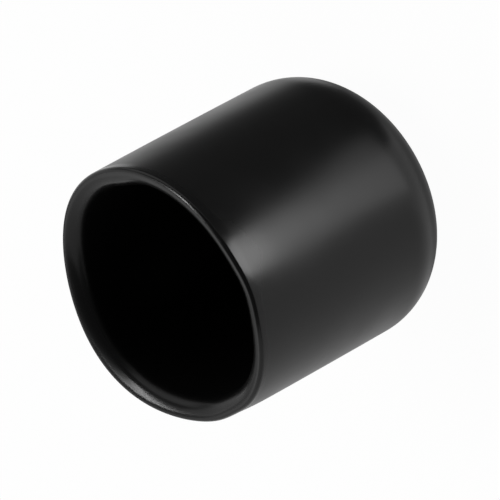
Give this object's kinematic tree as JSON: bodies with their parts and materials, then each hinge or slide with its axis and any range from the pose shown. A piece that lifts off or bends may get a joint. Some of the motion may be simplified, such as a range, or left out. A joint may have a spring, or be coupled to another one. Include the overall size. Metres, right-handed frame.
{
  "type": "tube end cap",
  "caption": "Round push-on end cap in soft black vinyl: a cup with an open mouth and a rounded closed end, which grips the outside of a tube.",
  "frame": {"origin": "centre of the flat on the closed end, which the cap stands on", "axes": "+Z along the bore axis, out of the mouth; the cap is the same all round, so X and Y are free"},
  "size_m": [0.0295, 0.0294, 0.0312],
  "materials": {
    "vinyl": "satin black, moulded"
  },
  "bodies": {
    "root": {"cap": "vinyl"}
  },
  "joints": []
}
